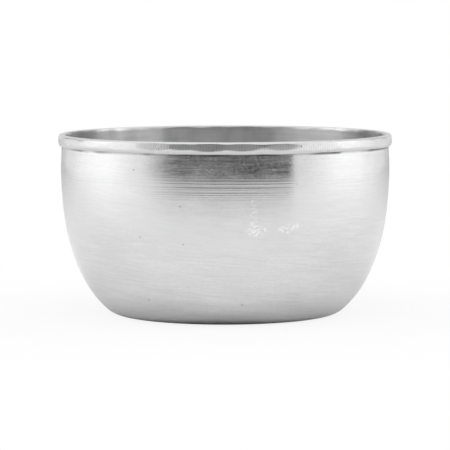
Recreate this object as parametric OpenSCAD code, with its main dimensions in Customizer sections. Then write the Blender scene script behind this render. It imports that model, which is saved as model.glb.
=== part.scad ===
// Offering bowl: one disc of aluminium sheet, spun over a former, with its edge
// folded outward into a closed hem and hammered down all the way round.
// Millimetres. The bowl stands on z = 0, and the z axis is the axis it was spun about.

/* [Bowl] */
// Diameter over the rim before hammering
rim_d = 150; // [130:0.5:170]
// Height from the table to the top of the rim
bowl_h = 81; // [76:0.5:100]
// Diameter of the flat that the bowl stands on, as a share of the rim's
foot_share = 0.615; // [0.56:0.005:0.64]
// Thickness of the sheet
sheet_t = 1.5; // [0.8:0.1:2]

/* [Side] */
// Height at which the side has come upright
upright_z = 61.5; // [54:0.5:70]
// Outside radius of the heel, the bend from the flat into the belly
heel_r = 11.5; // [8:0.5:16]
// Angle from level at which the heel passes into the belly
heel_turn = 43; // [38:1:48]
// Angle from level at which the belly passes into the shoulder
belly_turn = 70; // [66:1:74]

/* [Rim] */
// Greatest thickness of the folded leaf
leaf_t = 1.15; // [0.9:0.05:1.5]
// Width of the seam between the leaf and the wall
seam_w = 0.25; // [0.1:0.05:0.4]
// How far the leaf comes down below the rim's widest line
leaf_drop = 3.9; // [2.8:0.1:4.6]
// Radius of the rim's inner top edge
lip_r = 0.8; // [0.3:0.05:1]
// Radius on the leaf's cut edge
edge_r = 0.25; // [0.15:0.05:0.4]

/* [Hammer marks] */
// Number of blows round the rim, outside and inside alike
blows = 31; // [24:1:38]
// Mean depth of the flats outside, at their middles
flat_depth = 0.26; // [0.1:0.02:0.36]
// Radius to which the flats bulge along the rim
face_r = 220; // [95:5:400]
// How far the flats face up from level
flat_rake = 1.5; // [0:0.5:6]
// Mean depth of the dents along the inner top edge
dent_depth = 0.22; // [0.1:0.02:0.44]
// Radius of the round hammer face that made the dents
peen_r = 40; // [30:1:50]
// How far the dents face up from level
dent_rake = 27; // [15:1:45]

/* [Hidden] */

// Fineness of the arcs, how far a cut runs past what it cuts, and by how much each arc
// laps over the flatter one beside it, so that they join into one body
$fn = 144;
overrun = 1;
lap = 0.002;

// The upright wall and the rim
rim_r = rim_d / 2;
foot_r = foot_share * rim_r;
wall_r = rim_r - leaf_t - seam_w;
inner_r = wall_r - sheet_t;
fold_r = rim_r - inner_r - lip_r;
widest_z = bowl_h - fold_r;

// Directions in the half section, by the angle from straight down or from level
function from_down(turn) = [sin(turn), -cos(turn)];
function below_level(turn) = [cos(turn), -sin(turn)];

// The side is three arcs, heel, belly and shoulder, that pass smoothly into each other. The
// belly's and the shoulder's radii are the two that bring the side to the wall at upright_z.
run = wall_r + 3 * lap - foot_r - heel_r * sin(heel_turn);
rise = upright_z - heel_r * (1 - cos(heel_turn));
belly_run = sin(belly_turn) - sin(heel_turn);
belly_rise = cos(heel_turn) - cos(belly_turn);
shoulder_run = 1 - sin(belly_turn);
shoulder_rise = cos(belly_turn);
crossing = belly_run * shoulder_rise - shoulder_run * belly_rise;
belly_r = (run * shoulder_rise - rise * shoulder_run) / crossing;
shoulder_r = (rise * belly_run - run * belly_rise) / crossing;

heel_centre = [foot_r, heel_r];
belly_centre = heel_centre - (belly_r - heel_r) * from_down(heel_turn);
shoulder_centre = belly_centre - (shoulder_r - belly_r) * from_down(belly_turn);

// The leaf's outside is an arc from the widest line down to the seam. Its cut edge is
// rounded with a small arc that touches both the outside and the seam.
leaf_r = (leaf_t * leaf_t + leaf_drop * leaf_drop) / (2 * leaf_t);
leaf_centre = [rim_r - leaf_r, widest_z];
seam_x = wall_r + seam_w;
edge_x = seam_x + edge_r;
edge_turn = acos((edge_x - leaf_centre.x) / (leaf_r - edge_r));
edge_centre = leaf_centre + (leaf_r - edge_r) * below_level(edge_turn);

// The smith's hand is uneven: the blows wander round the rim and vary in depth
pitch = 360 / blows;
first_blow = -floor(blows / 2);
first_turn = -3.5;
wander_share = 0.23;
wander_step = 299;
wander_start = 320;
depth_share = 0.35;
depth_step = 231;
depth_start = 130;

// A blow's place round the rim, as an angle from the front, and its depth beside the mean
function blow_turn(i) = first_turn + pitch * (i + wander_share * sin(wander_step * i + wander_start));
function blow_weight(i) = 1 + depth_share * sin(depth_step * i + depth_start);

// The half of a disc that lies beyond the line through its centre at this angle
module disc_beyond(centre, r, turn) {
    translate(centre) intersection() {
        circle(r);
        rotate(turn) translate([0, -2 * r]) square([2 * r, 4 * r]);
    }
}

// All that lies within the side's outline, this far in from its outside, up to the fold
module side_fill(inset) {
    intersection() {
        square([rim_r, widest_z]);
        union() {
            translate([0, inset]) square([foot_r, bowl_h]);
            translate(heel_centre) circle(heel_r - inset);
            disc_beyond(belly_centre, belly_r - lap - inset, heel_turn);
            disc_beyond(shoulder_centre, shoulder_r - 2 * lap - inset, belly_turn);
            translate([0, upright_z]) square([wall_r - inset, bowl_h]);
        }
    }
}

// The fold over the top of the wall. Its outer round reaches down into the leaf.
module fold_section() {
    intersection() {
        translate([rim_r - fold_r, widest_z]) circle(fold_r);
        translate([rim_r - fold_r, widest_z - fold_r]) square([fold_r, 2 * fold_r]);
    }
    translate([inner_r, widest_z]) square([lip_r, fold_r - lip_r]);
    intersection() {
        translate([inner_r + lip_r, bowl_h - lip_r]) circle(lip_r);
        translate([inner_r, bowl_h - lip_r]) square(lip_r);
    }
}

// The folded leaf below the widest line, with its rounded cut edge
module leaf_section() {
    intersection() {
        translate(leaf_centre) circle(leaf_r - lap);
        polygon([
            [seam_x, widest_z],
            [rim_r + leaf_t, widest_z],
            leaf_centre + 2 * leaf_r * below_level(edge_turn),
            edge_centre,
            [seam_x, edge_centre.y]
        ]);
    }
    translate(edge_centre) circle(edge_r);
}

// The bowl as it leaves the spinning lathe, with the hem closed and no hammer marks
module spun_bowl() {
    rotate_extrude() difference() {
        union() {
            side_fill(0);
            fold_section();
            leaf_section();
        }
        side_fill(sheet_t);
        translate([0, widest_z]) square([inner_r, fold_r]);
        translate([wall_r, widest_z - leaf_drop]) square([seam_w, fold_r + leaf_drop - sheet_t]);
    }
}

// Flats round the outside of the rim, left by a hammer face that is almost flat
module flats() {
    for (i = [first_blow : first_blow + blows - 1]) {
        depth = flat_depth * blow_weight(i);
        half_l = sqrt(2 * depth / (1 / rim_r - 1 / face_r)) + overrun;
        rotate([0, 0, blow_turn(i) - 90])
            translate([rim_r, 0, widest_z])
                rotate([0, -flat_rake, 0])
                    translate([-depth, 0, -leaf_drop]) difference() {
                        translate([-overrun, -half_l, 0])
                            cube([2 * overrun, 2 * half_l, leaf_drop + fold_r]);
                        translate([-face_r, 0, -overrun])
                            cylinder(h = leaf_drop + fold_r + 2 * overrun, r = face_r);
                    }
    }
}

// Dents along the inner top edge, left by a round hammer face, of which only the patch
// that meets the rim is drawn
module dents() {
    for (i = [first_blow : first_blow + blows - 1]) {
        depth = dent_depth * blow_weight(i + 1);
        half_l = sqrt(2 * depth / (1 / peen_r - 1 / inner_r)) + overrun;
        rotate([0, 0, blow_turn(i) + pitch / 2 - 90])
            translate([inner_r + lip_r, 0, bowl_h - lip_r])
                rotate([0, dent_rake, 0])
                    translate([depth - lip_r, 0, 0]) intersection() {
                        translate([-peen_r, 0, 0]) sphere(peen_r);
                        translate([-2 * fold_r, -half_l, -2 * fold_r])
                            cube([2 * fold_r + overrun, 2 * half_l, 4 * fold_r]);
                    }
    }
}

// The finished bowl
module bowl() {
    color([0.80, 0.80, 0.81]) difference() {
        spun_bowl();
        flats();
        dents();
    }
}

bowl();
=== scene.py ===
import math

import bpy
import numpy as np
from mathutils import Matrix, Vector


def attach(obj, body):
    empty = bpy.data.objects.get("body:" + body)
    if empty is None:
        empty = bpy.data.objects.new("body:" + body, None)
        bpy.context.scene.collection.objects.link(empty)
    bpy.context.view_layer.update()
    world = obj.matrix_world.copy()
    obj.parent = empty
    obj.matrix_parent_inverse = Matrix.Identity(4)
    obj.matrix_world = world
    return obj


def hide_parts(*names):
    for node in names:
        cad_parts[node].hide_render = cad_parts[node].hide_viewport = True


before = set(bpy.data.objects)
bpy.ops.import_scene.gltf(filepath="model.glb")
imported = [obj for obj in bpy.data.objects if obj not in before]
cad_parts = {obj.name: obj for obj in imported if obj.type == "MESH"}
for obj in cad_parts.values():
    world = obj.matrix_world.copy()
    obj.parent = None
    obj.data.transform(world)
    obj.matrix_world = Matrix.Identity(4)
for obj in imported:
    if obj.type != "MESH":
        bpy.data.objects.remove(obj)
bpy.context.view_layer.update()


# The bowl
# One disc of aluminium sheet, spun over a former into a flat-bottomed bowl. Its edge is folded
# outward into a closed hem, and the hem is hammered flat outside and dented along its inner edge.
# Its sizes are in millimetres and its angles in degrees.
MM = 0.001
rim_r = 75.0
bowl_h = 81.0
sheet_t = 1.5
foot_r = 46.125
heel_r = 11.5
heel_turn = 43.0
belly_turn = 70.0
upright_z = 61.5
leaf_t = 1.15
seam_w = 0.25
leaf_drop = 3.9
lip_r = 0.8
edge_r = 0.25
wall_r = rim_r - leaf_t - seam_w
inner_r = wall_r - sheet_t
fold_r = rim_r - inner_r - lip_r
widest_z = bowl_h - fold_r
seam_x = wall_r + seam_w
seam_top = bowl_h - sheet_t


def from_down(turn):
    """Direction in the half section, by its angle turned up from straight down."""
    return np.array([math.sin(math.radians(turn)), -math.cos(math.radians(turn))])


def side_radii():
    """Radii of the belly and the shoulder that bring the side upright just at the wall."""
    run, rise = np.array([wall_r - foot_r, upright_z]) - heel_r * (from_down(heel_turn) + [0, 1])
    belly = from_down(belly_turn) - from_down(heel_turn)
    shoulder = from_down(90) - from_down(belly_turn)
    return np.linalg.solve(np.column_stack([belly, shoulder]), [run, rise])


belly_r, shoulder_r = side_radii()
heel_centre = np.array([foot_r, heel_r])
belly_centre = heel_centre - (belly_r - heel_r) * from_down(heel_turn)
shoulder_centre = belly_centre - (shoulder_r - belly_r) * from_down(belly_turn)
leaf_r = (leaf_t**2 + leaf_drop**2) / (2 * leaf_t)
leaf_centre = np.array([rim_r - leaf_r, widest_z])
edge_turn = 90 - math.degrees(math.acos((seam_x + edge_r - leaf_centre[0]) / (leaf_r - edge_r)))
edge_centre = leaf_centre + (leaf_r - edge_r) * from_down(edge_turn)
leaf_foot = edge_centre[1] - edge_r

# The spinning tool leaves ridges on the outside between these heights
marks_low, marks_high = 53.5, 68.0
marks_turn = 90 - math.degrees(math.asin((upright_z - marks_low) / shoulder_r))


def arc(centre, radius, start, end, count):
    """So many points along an arc of the half section, without its last one."""
    turns = np.linspace(start, end, count + 1)[:-1]
    return [centre + radius * from_down(turn) for turn in turns]


def squared_round(centre, radius, squareness, count):
    """Points from the outermost to the top of a round that hammering has squared a little."""
    turns = np.linspace(90, 180, count + 1)[:-1]
    return [centre + radius * np.abs(from_down(turn)) ** (2 / squareness) for turn in turns]


def line(start, end, count):
    """So many points along a straight stretch of the half section, without its last one."""
    return list(np.linspace(start, end, count + 1)[:-1])


def side(inset, heel, belly, low_shoulder, high_shoulder, wall):
    """The side from the foot up, this far in from the outside, with so many points a stretch."""
    return (
        arc(heel_centre, heel_r - inset, 0, heel_turn, heel)
        + arc(belly_centre, belly_r - inset, heel_turn, belly_turn, belly)
        + arc(shoulder_centre, shoulder_r - inset, belly_turn, marks_turn, low_shoulder)
        + arc(shoulder_centre, shoulder_r - inset, marks_turn, 90, high_shoulder)
        + line([wall_r - inset, upright_z], [wall_r - inset, marks_high], wall)
    )


# The half section, from near the middle of the foot, up the outside, over the rim and down
# inside. Its points lie closer together at the marks, on the rim and down to the dents' end.
hub_r = 3.0
fold_squareness = 2.6
dents_end = bowl_h - 4.5
outline = (
    line([hub_r, 0.0], [foot_r, 0.0], 6)
    + side(0.0, heel=9, belly=14, low_shoulder=14, high_shoulder=42, wall=34)
    + line([wall_r, marks_high], [wall_r, leaf_foot], 9)
    + line([wall_r, leaf_foot], [wall_r, seam_top], 3)
    + line([wall_r, seam_top], [seam_x, seam_top], 1)
    + line([seam_x, seam_top], [seam_x, edge_centre[1]], 4)
    + arc(edge_centre, edge_r, 270, 360 + edge_turn, 7)
    + arc(leaf_centre, leaf_r, edge_turn, 90, 22)
    + squared_round(np.array([rim_r - fold_r, widest_z]), fold_r, fold_squareness, 24)
    + arc(np.array([inner_r + lip_r, bowl_h - lip_r]), lip_r, 180, 270, 6)
    + line([inner_r, bowl_h - lip_r], [inner_r, dents_end], 9)
    + line([inner_r, dents_end], [inner_r, marks_high], 4)
    + side(sheet_t, heel=6, belly=9, low_shoulder=9, high_shoulder=3, wall=3)[::-1]
    + line([foot_r, sheet_t], [hub_r, sheet_t], 5)[1:]
    + [np.array([hub_r, sheet_t])]
)
rows = np.array(outline)
top_row = int(np.argmax(rows[:, 1]))
outside = np.arange(len(rows)) < top_row
slack = 0.01
skin = outside & (rows[:, 0] < wall_r + slack)
on_rim = outside & (rows[:, 0] > seam_x) & (rows[:, 1] > leaf_foot)

# The half section is turned round the bowl's axis. Turns count from the front to the right.
spokes = 400
around = np.linspace(0, 2 * math.pi, spokes, endpoint=False)
turn_at = np.degrees(around)[:, None]
radius = np.repeat(rows[None, :, 0], spokes, axis=0)
height = np.repeat(rows[None, :, 1], spokes, axis=0)

# A spun wall is never quite true. Outside it is fullest just above the shoulder and low on it,
# and drawn in at the belly, high on the shoulder and under the rim.
swells = ((0.15, 65.0, 4.4), (-0.07, 53.0, 5.0), (0.15, 33.0, 8.0), (-0.13, 16.5, 4.0))
for size, middle, spread in swells:
    radius = radius + np.where(skin, size * np.exp(-(((height - middle) / spread) ** 2)), 0)

drawn_in, neck_low, neck_h = 0.22, 67.0, 10.0
neck = np.sin(math.pi / 2 * np.clip((height - neck_low) / neck_h, 0, 1)) ** 2
radius = radius - np.where(skin, drawn_in * neck, 0)

# The spinning marks: low ridges round the top of the shoulder, each with its height, its size
# and the turn at which it is clearest. They wander up and down a little round the bowl.
ridges = (
    (65.4, 0.008, 10),
    (64.1, 0.018, 5),
    (62.9, 0.021, 5),
    (61.2, 0.020, -2),
    (60.4, 0.015, -8),
    (59.1, 0.020, -3),
    (58.2, 0.021, -8),
    (57.3, 0.008, 0),
    (56.0, 0.007, -5),
)
ridge_half_w = 0.3
steady, twofold, sevenfold = 0.6, 0.25, 0.15
drift = 0.1 * np.sin(np.radians(2 * turn_at)) + 0.05 * np.sin(np.radians(5 * turn_at))
for ridge_z, size, clearest in ridges:
    share = steady + twofold * np.cos(np.radians(2 * (turn_at - clearest)))
    share = share + sevenfold * np.cos(np.radians(7 * (turn_at - clearest)))
    bulge = np.exp(-(((height + drift - ridge_z) / ridge_half_w) ** 2))
    radius = radius + np.where(skin, size * share * bulge, 0)

# Between and beside the ridges runs a faint ripple, which fades out below and above
ripple, ripple_pitch = 0.004, 0.83
low_fade, high_fade = 5.0, 3.0
marked = np.clip((height - marks_low) / low_fade, 0, 1)
marked = marked * np.clip((marks_high - height) / high_fade, 0, 1)
wave = np.cos(2 * math.pi * (height + drift) / ripple_pitch)
radius = radius + np.where(skin, ripple * marked * wave, 0)

# The blows of the hammer wander round the rim and vary in depth, by the solid's own rule
blows, first_turn = 31, -3.5
wander, wander_step, wander_start = 0.23, 299, 320
depth_share, depth_step, depth_start = 0.35, 231, 130
pitch = 360 / blows
blow_numbers = range(-(blows // 2), blows - blows // 2)
corner_soft = 0.05


def blow_turn(i):
    """Place of a blow round the rim, as an angle from the front towards the right."""
    aside = wander * math.sin(math.radians(wander_step * i + wander_start))
    return first_turn + pitch * (i + aside)


def blow_weight(i):
    """Depth of a blow beside the mean."""
    return 1 + depth_share * math.sin(math.radians(depth_step * i + depth_start))


def turned_from(turn):
    """Angle of each spoke from this turn, from -180 to 180."""
    return (turn_at - turn + 180) % 360 - 180


def soft_least(a, b, soft):
    """The lesser of two lengths, with the corner between them rounded off."""
    return 0.5 * (a + b - np.sqrt((a - b) ** 2 + soft**2))


# The flats outside, which bulge and waver a little along the rim. Each leans its own way. They
# lie a hair deeper than in the solid, so that the rounded corners stay within it.
face_r, flat_depth, flat_rake, deeper = 220.0, 0.26, 1.5, 0.01
more_rake, rake_sway, rake_step = 0.5, 1.2, 45
waver, waver_rate = 0.006, 2.0
flat_span = 1.5 * pitch
untouched = 1000.0
reach = np.full_like(radius, untouched)
for i in blow_numbers:
    away = turned_from(blow_turn(i))
    along = rim_r * np.sin(np.radians(away))
    rake = flat_rake + more_rake - rake_sway * math.sin(math.radians(rake_step * i))
    flat = rim_r - deeper - flat_depth * blow_weight(i)
    flat = flat - math.tan(math.radians(rake)) * (height - widest_z)
    flat = flat + waver * np.sin(waver_rate * along) + along**2 / 2 * (1 / rim_r - 1 / face_r)
    reach = np.minimum(reach, np.where(np.abs(away) < flat_span, flat, untouched))
radius = np.where(on_rim, soft_least(radius, reach, corner_soft), radius)

# The leaf's cut edge was hammered too, and comes down a little unevenly. Each of its waves has
# its size, its count round the rim and its start.
edge_waves = ((0.06, 31, 70), (0.07, 13, 20))
edge_drop = sum(size * np.sin(np.radians(many * turn_at + start)) for size, many, start in edge_waves)
height = height + np.clip((widest_z - height) / leaf_drop, 0, 1) * on_rim * edge_drop

# The dents along the inner top edge, from a round hammer face that comes in at a slope. Nothing
# below the lowest reach is touched.
dent_depth, peen_r, dent_rake = 0.22, 40.0, 27.0
lowest_reach = bowl_h - 8
x = radius * np.sin(around)[:, None]
y = -radius * np.cos(around)[:, None]
points = np.stack([x, y, height], axis=2)
for i in blow_numbers:
    turn = blow_turn(i) + pitch / 2
    out = np.array([math.sin(math.radians(turn)), -math.cos(math.radians(turn)), 0.0])
    into = out * math.cos(math.radians(dent_rake)) - [0, 0, math.sin(math.radians(dent_rake))]
    lip = out * (inner_r + lip_r) + [0, 0, bowl_h - lip_r]
    centre = lip + into * (dent_depth * blow_weight(i + 1) - lip_r - peen_r)
    arm = points - centre
    span = np.linalg.norm(arm, axis=2)
    near = (span < peen_r + 2 * corner_soft) & (height > lowest_reach)
    near = near & (np.abs(turned_from(turn)) < pitch)
    pushed = -soft_least(-span, np.full_like(span, -peen_r), corner_soft)
    points = np.where(near[:, :, None], centre + arm * (pushed / span)[:, :, None], points)

# The mesh: a band of four-sided faces for each spoke, and a ring of triangles that closes the
# middle of the foot, below and above
count = len(rows)
foot_middle, floor_middle = spokes * count, spokes * count + 1
corners = points.reshape(-1, 3) * MM
corners = np.vstack([corners, [0, 0, 0], [0, 0, sheet_t * MM]])
faces = []
for j in range(spokes):
    spoke, following = j * count, (j + 1) % spokes * count
    for n in range(count - 1):
        faces.append((spoke + n, following + n, following + n + 1, spoke + n + 1))
    faces.append((following, spoke, foot_middle))
    faces.append((spoke + count - 1, following + count - 1, floor_middle))
bowl_mesh = bpy.data.meshes.new("bowl_sheet")
bowl_mesh.from_pydata(corners.tolist(), [], faces)
bowl_mesh.validate()

# Each face takes the finish of its part of the sheet: the wall outside, the rim, or the inside,
# which starts part of the way round the lip
WALL, RIM, INSIDE = 0, 1, 2
lip_rows = 4
rim_row = int(np.argmax(on_rim))
inside_row = top_row + lip_rows
finishes = [WALL] * rim_row + [RIM] * (inside_row - rim_row) + [INSIDE] * (count - 1 - inside_row)
bowl_mesh.polygons.foreach_set("material_index", (finishes + [WALL, INSIDE]) * spokes)
sharp_bend = 50
bowl_mesh.shade_smooth()
bowl_mesh.set_sharp_from_angle(angle=math.radians(sharp_bend))
bowl = bpy.data.objects.new("spun_bowl", bowl_mesh)
bpy.context.scene.collection.objects.link(bowl)


class Reading:
    """A value, place or colour read at each point of a surface. Sums on it add Math nodes."""

    def __init__(self, tree, socket):
        self.tree, self.socket = tree, socket

    def node(self, kind, settings, values, output=0):
        """Adds a node: its settings come first, then the values or links of its sockets."""
        made = self.tree.nodes.new(kind)
        for name, setting in settings.items():
            setattr(made, name, setting)
        for name, value in values.items():
            socket = made.inputs[name]
            if isinstance(value, Reading):
                self.tree.links.new(value.socket, socket)
            else:
                socket.default_value = value
        return Reading(self.tree, made.outputs[output])

    def math(self, operation, *others):
        """A Math node on this reading and the others."""
        return self.node("ShaderNodeMath", {"operation": operation}, dict(enumerate((self, *others))))

    def __add__(self, other):
        return self.math("ADD", other)

    def __sub__(self, other):
        return self.math("SUBTRACT", other)

    def __rsub__(self, other):
        return self.math("MULTIPLY_ADD", -1.0, other)

    def __mul__(self, other):
        return self.math("MULTIPLY", other)

    def __neg__(self):
        return self.math("MULTIPLY", -1.0)

    __radd__, __rmul__ = __add__, __mul__

    def between(self, low, high, to_low=0.0, to_high=1.0):
        """Goes smoothly from one value to another as the reading goes from low to high."""
        values = {0: self, 1: low, 2: high, 3: to_low, 4: to_high}
        return self.node("ShaderNodeMapRange", {"interpolation_type": "SMOOTHSTEP"}, values)

    def fading(self, start, end, full=1.0):
        """Goes smoothly from full to nothing."""
        return self.between(start, end, full, 0.0)

    def band(self, low, full_from, full_to, high):
        """Nothing below low and above high, and 1 in the middle."""
        return self.between(low, full_from) * self.fading(full_to, high)

    def swing(self, amount):
        """A reading from 0 to 1 turned into a change of this much in all, up and down."""
        return (self - 0.5) * amount

    def parts(self):
        """The three parts of a place or direction."""
        split = self.node("ShaderNodeSeparateXYZ", {}, {0: self})
        return [Reading(self.tree, part) for part in split.socket.node.outputs]

    def from_axis(self):
        """How far a place is from the upright axis."""
        across, deep = self.parts()[:2]
        return (across * across + deep * deep).math("SQRT")

    def from_spot(self, spot):
        """How far a place is from a spot given in millimetres."""
        values = {0: self, 1: tuple(MM * part for part in spot)}
        return self.node("ShaderNodeVectorMath", {"operation": "DISTANCE"}, values, "Value")

    def grain(self, scale, detail=2.0, rough=0.5):
        """Noise from 0 to 1 over a place, with so many grains to the unit."""
        values = {"Vector": self, "Scale": scale, "Detail": detail, "Roughness": rough}
        return self.node("ShaderNodeTexNoise", {}, values)

    def streaks(self, fineness, crosswise, detail=2.0, rough=0.5):
        """Noise with so many grains to the metre on the level, and another reading for height."""
        across, deep = self.parts()[:2]
        values = {0: across * fineness, 1: deep * fineness, 2: crosswise}
        return self.node("ShaderNodeCombineXYZ", {}, values).grain(1.0, detail, rough)

    def feed(self, socket):
        """Links the reading to a socket that is there already."""
        self.tree.links.new(self.socket, socket)


def open_tree(owner, output_kind, coordinates):
    """Clears the nodes of a material or the world. Gives a reading of places, and its surface."""
    owner.use_nodes = True
    tree = owner.node_tree
    tree.nodes.clear()
    surface = tree.nodes.new(output_kind).inputs["Surface"]
    places = tree.nodes.new("ShaderNodeTexCoord").outputs[coordinates]
    return Reading(tree, places), surface


def open_finish(name):
    """A new finish for a part of the bowl: a reading of places on it in metres, and its surface."""
    material = bpy.data.materials.new(name)
    bowl_mesh.materials.append(material)
    return open_tree(material, "ShaderNodeOutputMaterial", "Object")


# The finishes. Places and sizes in them are in metres unless a comment says otherwise.
bare_shade, cold_tint = 0.86, 1.004


def aluminium(here, surface, shade, roughness, bumps, bump_h, upright_blur):
    """Bare aluminium with a blurred shine, more blurred up and down than round the bowl."""
    bump = here.node("ShaderNodeBump", {}, {"Strength": 1.0, "Distance": bump_h, "Height": bumps})
    base = here.node("ShaderNodeCombineColor", {}, {0: shade, 1: shade, 2: shade * cold_tint})
    sockets = {
        "Base Color": base,
        "Metallic": 1.0,
        "Roughness": roughness,
        "Normal": bump,
        "Anisotropic": upright_blur,
        "Anisotropic Rotation": 0.25,
    }
    here.node("ShaderNodeBsdfPrincipled", {}, sockets).feed(surface)


def patchy_seam_shade(here):
    """Patchiness of painted shade in a seam, stronger in some places than in others."""
    up = here.parts()[2]
    return here.streaks(50, up * 50, 2.0, 0.6).between(0.38, 0.62, 0.25, 1.0)


# The wall outside: fine lines left by the tool and the polishing cloth, some of them leaning,
# with cloudy patches, small pits, two scuffs and painted shade in the seam under the rim. The
# lines' light and dark is stronger low down, where the light that they reflect is even.
lathe_line_h, lathe_blur = 0.000009, 0.85
here, surface = open_finish("spun_wall")
px, py, pz = here.parts()
ring = here.from_axis()
over_lines = ring + pz
hair = here.streaks(110, over_lines * 1900, 2.0, 0.6)
turned = here.streaks(22, over_lines * 900, 3.0, 0.6)
bands = here.streaks(8, over_lines * 300)
leaning = here.streaks(60, (pz + px * 0.13) * 1100 + ring * 500, 2.0, 0.55)
clouds = here.grain(55.0, 4.0, 0.62)
specks = here.grain(900.0, 1.0)

# The larger pits, by their places in millimetres
pit_spots = (
    (-39.0, -62.3, 68.6),
    (-36.6, -61.4, 39.7),
    (-18.0, -68.6, 37.1),
    (-19.3, -70.7, 53.5),
    (-33.1, -51.3, 11.4),
    (7.2, -59.7, 10.1),
)
pits = sum(here.from_spot(spot).fading(0.0002, 0.0005, 0.45) for spot in pit_spots)
pits = pits + specks.between(0.74, 0.8, 0.0, 0.2)

# The patches of the two scuffs in front: each one's middle from side to side and up, its half
# width and half height in millimetres, and how strong it is. They are made of small bright specks.
scuff_patches = (
    (12.0, 50.5, 1.7, 8.0, 0.4),
    (13.6, 42.8, 4.8, 2.6, 1.0),
    (25.5, 43.2, 3.0, 1.8, 1.0),
    (29.0, 44.8, 3.0, 1.5, 0.9),
)
cells = here.node("ShaderNodeTexVoronoi", {}, {"Vector": here, "Scale": 950.0}, "Distance")
marks = cells.fading(0.42, 0.6) * here.grain(480.0, 1.0).between(0.44, 0.54, 0.25, 1.0)
patches = 0.0
for middle_x, middle_z, half_w, half_h, strength in scuff_patches:
    across = (px - MM * middle_x) * (1 / (MM * half_w))
    up = (pz - MM * middle_z) * (1 / (MM * half_h))
    patches = (across * across + up * up).fading(0.5, 1.2, strength).math("MAXIMUM", patches)
scuffed = patches * marks * py.fading(-0.03, -0.02)

# Painted shade: the seam under the rim is darkened, patchily, by up to 80 percent
seam_shade = pz.between(0.0746, 0.0754) * patchy_seam_shade(here)
lines = hair.swing(0.09) + turned.swing(0.06) + leaning.swing(0.10) + specks.swing(0.09)
shade = bare_shade + lines * pz.between(0.025, 0.06, 1.8, 0.8)
shade = shade + bands.swing(0.03) + clouds.swing(0.06) - pits + scuffed * 0.24
shade = (shade * (1 - seam_shade * 0.8)).math("MINIMUM", 1.0)
roughness = 0.20 + clouds.swing(0.16) + turned.swing(0.12) + hair.swing(0.16)
roughness = roughness + specks.swing(0.115) - scuffed * 0.08
bumps = hair * 0.35 + turned * 0.6 + leaning * 0.3 + bands * 0.6 + scuffed * 3.0
aluminium(here, surface, shade, roughness, bumps, lathe_line_h, lathe_blur)

# The hammered rim: cloudier, with fine upright chatter marks on its flats, two bright scratches,
# a pit, painted shade along its cut edge and a little painted shade on its lower band
chatter_marks = 392
hammer_mark_h, hammer_blur = 0.000004, 0.6
here, surface = open_finish("hammered_rim")
px, py, pz = here.parts()
unsteady = here.streaks(160, pz * 60, 1.0)
chatter = (px.math("ARCTAN2", -py) * chatter_marks + unsteady * 9).math("SINE")
chatter = chatter * pz.band(0.0772, 0.0776, 0.0799, 0.0802)
chatter = chatter * here.grain(120.0).between(0.3, 0.55, 0.5, 1.0)
worn = here.grain(520.0, 3.0, 0.6)
clouds = here.grain(70.0, 3.0, 0.6)
# Painted shade along the hem's cut edge, where it meets the wall, patchy round the rim
edge_shade = pz.fading(0.0760, 0.0764) * here.from_axis().fading(0.0742, 0.0745) * patchy_seam_shade(here)
shade = bare_shade + chatter * 0.042 + worn.swing(0.10) + clouds.swing(0.06)
rim_middle_z, scratch_slope = 0.0788, 0.35
for scratch_x in (-0.0292, -0.0284):
    off_line = (px - (pz - rim_middle_z) * scratch_slope - scratch_x).math("ABSOLUTE")
    shade = shade + off_line.fading(0.0001, 0.00025, 0.12) * py.fading(-0.05, -0.04)
shade = shade - here.from_spot((32.4, -67.4, 78.9)).fading(0.0003, 0.0006, 0.5)
# Painted shade: the cut edge darkened by up to 80 percent, and the rim's lower band by 12 percent
shade = shade * (1 - edge_shade * 0.8) * pz.between(0.0768, 0.0774, 0.88, 1.0)
roughness = 0.30 + clouds.swing(0.10) + worn.swing(0.14) + chatter * 0.01
bumps = chatter * 0.03 + worn * 0.6
aluminium(here, surface, shade, roughness, bumps, hammer_mark_h, hammer_blur)

# The inside: left as it came from the lathe, and duller
here, surface = open_finish("spun_inside")
pz = here.parts()[2]
turned = here.streaks(30, (here.from_axis() + pz) * 1100, 3.0, 0.6)
clouds = here.grain(60.0, 4.0, 0.6)
smears = here.streaks(55, pz * 30, 3.0, 0.55).between(0.44, 0.72)
shade = 0.82 + turned.swing(0.34) + clouds.swing(0.26) - smears * 0.20
roughness = 0.30 + clouds.swing(0.2) + smears * 0.06
aluminium(here, surface, shade, roughness, turned, lathe_line_h, lathe_blur)
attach(bowl, "root")
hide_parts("bowl")


# The table
# A plain pale table top that the bowl stands on, painted and matt. It isn't part of the bowl.
# Its near edge lies half a metre in front of the bowl.
left, right, front, back = -0.9, 0.9, -0.56, 1.6
table_corners = [(left, front, 0), (right, front, 0), (right, back, 0), (left, back, 0)]
table_mesh = bpy.data.meshes.new("table_top")
table_mesh.from_pydata(table_corners, [], [(0, 1, 2, 3)])
table = bpy.data.objects.new("table", table_mesh)
bpy.context.scene.collection.objects.link(table)
table_paint = bpy.data.materials.new("pale_table")
table_mesh.materials.append(table_paint)
here, surface = open_tree(table_paint, "ShaderNodeOutputMaterial", "Object")
paint_shade = 0.93 + here.grain(60.0).swing(0.02)
paint = here.node("ShaderNodeCombineColor", {}, {0: paint_shade, 1: paint_shade, 2: paint_shade})
matt = here.node("ShaderNodeBsdfDiffuse", {}, {"Color": paint})

# The camera sees the table as plain white, with the bowl's faint shadow left near its foot
plain_white = here.node("ShaderNodeEmission", {}, {"Color": (1, 1, 1, 1), "Strength": 1.0})
seen = here.node("ShaderNodeLightPath", {}, {}, "Is Camera Ray")
whiteness = seen * here.from_axis().between(0.06, 0.22, 0.87, 1.0)
here.node("ShaderNodeMixShader", {}, {0: whiteness, 1: matt, 2: plain_white}).feed(surface)


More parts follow.
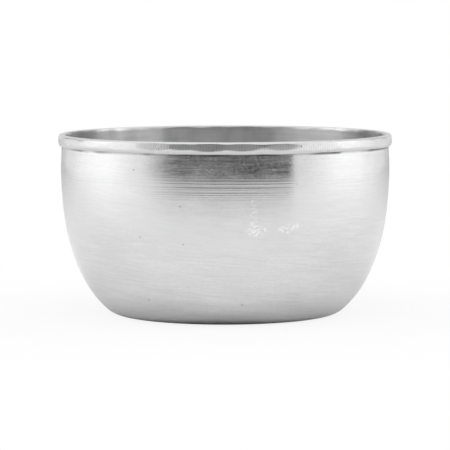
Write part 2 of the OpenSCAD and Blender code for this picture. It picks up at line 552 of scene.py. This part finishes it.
# The studio
# Plain soft light from all round, brighter at both sides, above and behind, and less low down
# at the back corners. In front lies the dark of the room, which fades out to the left.
studio = bpy.data.worlds.new("studio")
bpy.context.scene.world = studio
there, surface = open_tree(studio, "ShaderNodeOutputWorld", "Generated")
wx, wy, wz = there.parts()
bearing = wx.math("ARCTAN2", -wy) * math.degrees(1)
upward = wz.math("ARCSINE") * math.degrees(1)
wide = bearing.math("ABSOLUTE")
sides = wide.band(45.0, 95.0, 105.0, 145.0) * upward.fading(12.0, 45.0)
panels = wide.band(72.0, 88.0, 106.0, 111.0) * upward.band(6.0, 14.0, 30.0, 45.0)
above = upward.between(38.0, 62.0)
behind = wide.between(105.0, 125.0) * upward.fading(-2.0, 3.0)
back_corners = wide.band(109.0, 117.0, 142.0, 155.0) * upward.band(2.0, 7.0, 13.0, 24.0)
room = bearing.band(-62.0, -30.0, 46.2, 49.0) * upward.fading(26.0, 40.0)
level = 0.74 + sides * 0.39 + above * 0.2 + behind * 0.28 + panels * 0.4
level = level * (1 - room * 0.94) * (1 - back_corners * 0.88)

# The bowl's shine shows this light in full. What it sheds on matt surfaces is turned down, to
# leave room for the lamps, and the camera sees plain white.
shed_share = 0.22
glossy_ray = there.node("ShaderNodeLightPath", {}, {}, "Is Glossy Ray")
camera_ray = there.node("ShaderNodeLightPath", {}, {}, "Is Camera Ray")
shown = level * (shed_share + glossy_ray * (1 - shed_share))
strength = camera_ray + (1 - camera_ray) * shown
sky = there.node("ShaderNodeBackground", {}, {"Color": (1, 1, 1, 1), "Strength": strength})
sky.feed(surface)


def soft_lamp(name, spot, aim, width, power):
    """A square soft lamp that lights the table and the bowl but isn't seen in the metal."""
    lamp = bpy.data.lights.new(name, "AREA")
    lamp.size, lamp.energy = width, power
    held = bpy.data.objects.new(name, lamp)
    held.location = spot
    held.rotation_euler = (Vector(aim) - Vector(spot)).to_track_quat("-Z", "Y").to_euler()
    held.visible_glossy = False
    bpy.context.scene.collection.objects.link(held)


soft_lamp("overhead", (0.0, -0.5, 1.1), (0.0, -0.1, 0.0), width=1.0, power=6.3)
for name, way in (("left", -1.0), ("right", 1.0)):
    back_spot, back_aim = (0.6 * way, 0.55, 0.8), (0.1 * way, 0.0, 0.0)
    soft_lamp(name + "_back_lamp", back_spot, back_aim, width=0.7, power=2.1)
    low_spot, low_aim = (0.9 * way, -0.1, 0.45), (0.3 * way, -0.05, 0.0)
    soft_lamp(name + "_low_lamp", low_spot, low_aim, width=0.5, power=2.5)


# The camera
# It stands a little above the rim, far back with a long lens, and looks slightly down.
lens_camera = bpy.data.cameras.new("camera")
lens_camera.sensor_width = 36.0
lens_camera.lens = 229.6
lens_camera.clip_start, lens_camera.clip_end = 0.01, 20.0
camera = bpy.data.objects.new("camera", lens_camera)
camera_place = Vector((-0.000109, -1.289, 0.14894))
pitch_down, roll = 0.0846, -0.0013
camera.matrix_world = (
    Matrix.Translation(camera_place)
    @ Matrix.Rotation(math.pi / 2 - pitch_down, 4, "X")
    @ Matrix.Rotation(roll, 4, "Z")
)
bpy.context.scene.collection.objects.link(camera)
bpy.context.scene.camera = camera
bpy.context.scene.view_settings.view_transform = "Standard"
